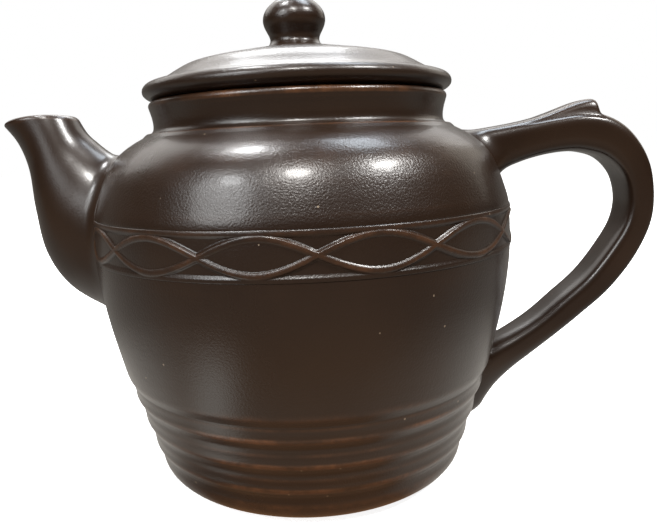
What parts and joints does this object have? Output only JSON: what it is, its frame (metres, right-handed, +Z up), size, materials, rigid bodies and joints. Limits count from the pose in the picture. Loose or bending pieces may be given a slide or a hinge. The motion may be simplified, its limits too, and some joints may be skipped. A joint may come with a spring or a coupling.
{
  "type": "teapot",
  "caption": "Round stoneware teapot with a ringed foot, a crossing-cord band, a short raised spout, a strap handle with a thumb spur and a loose domed lid with a knob.",
  "frame": {"origin": "centre of the foot, in the plane that the pot stands on", "axes": "+Z up along the axis of the pot; the spout points along -X and the handle along +X"},
  "size_m": [0.259, 0.1658, 0.1879],
  "materials": {
    "glaze_body": "satin gloss dark brown glaze",
    "glaze_relief": "satin gloss brown glaze, thin and warmer on the ridges",
    "glaze_handles": "gloss dark brown glaze",
    "glaze_lid": "satin gloss dark brown glaze",
    "bare_ring": "unglazed fired stoneware"
  },
  "bodies": {
    "pot": {"pot_body": "glaze_body", "wave_band": "glaze_relief", "spout": "glaze_handles", "handle": "glaze_handles"},
    "lid_ring": {"lid_locating_ring": "bare_ring"},
    "lid": {"lid": "glaze_lid", "lid_knob": "glaze_lid"}
  },
  "joints": [
    {"name": "lid_lift", "type": "slide", "parent": "pot", "child": "lid_ring", "axis": [0, 0, 1], "range_m": [0, 0.06]},
    {"name": "lid_turn", "type": "hinge", "parent": "lid_ring", "child": "lid", "pos_m": [0, 0, 0.149], "axis": [0, 0, 1], "continuous": true}
  ]
}
